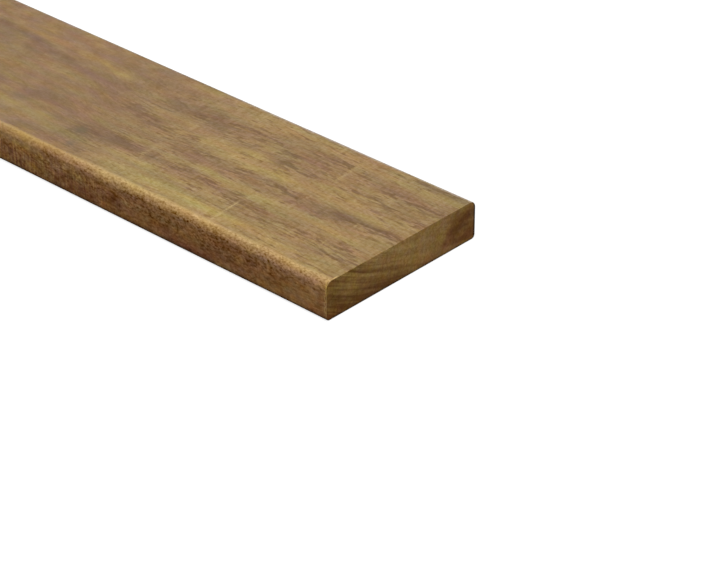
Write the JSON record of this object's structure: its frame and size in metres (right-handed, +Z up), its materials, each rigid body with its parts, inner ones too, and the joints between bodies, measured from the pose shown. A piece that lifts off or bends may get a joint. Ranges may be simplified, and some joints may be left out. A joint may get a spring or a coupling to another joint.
{
  "type": "decking board",
  "caption": "Smooth solid hardwood decking board with rounded long edges and square sawn ends; screwed down across joists as one plank of a terrace floor.",
  "frame": {"origin": "centre of the underside, where the board lies on its joists", "axes": "+X along the board towards the sawn end that the picture shows, +Y across the board, +Z up out of the walking face"},
  "size_m": [1.85, 0.14, 0.028],
  "materials": {
    "hardwood": "matte"
  },
  "bodies": {
    "root": {"decking_board": "hardwood"}
  },
  "joints": []
}
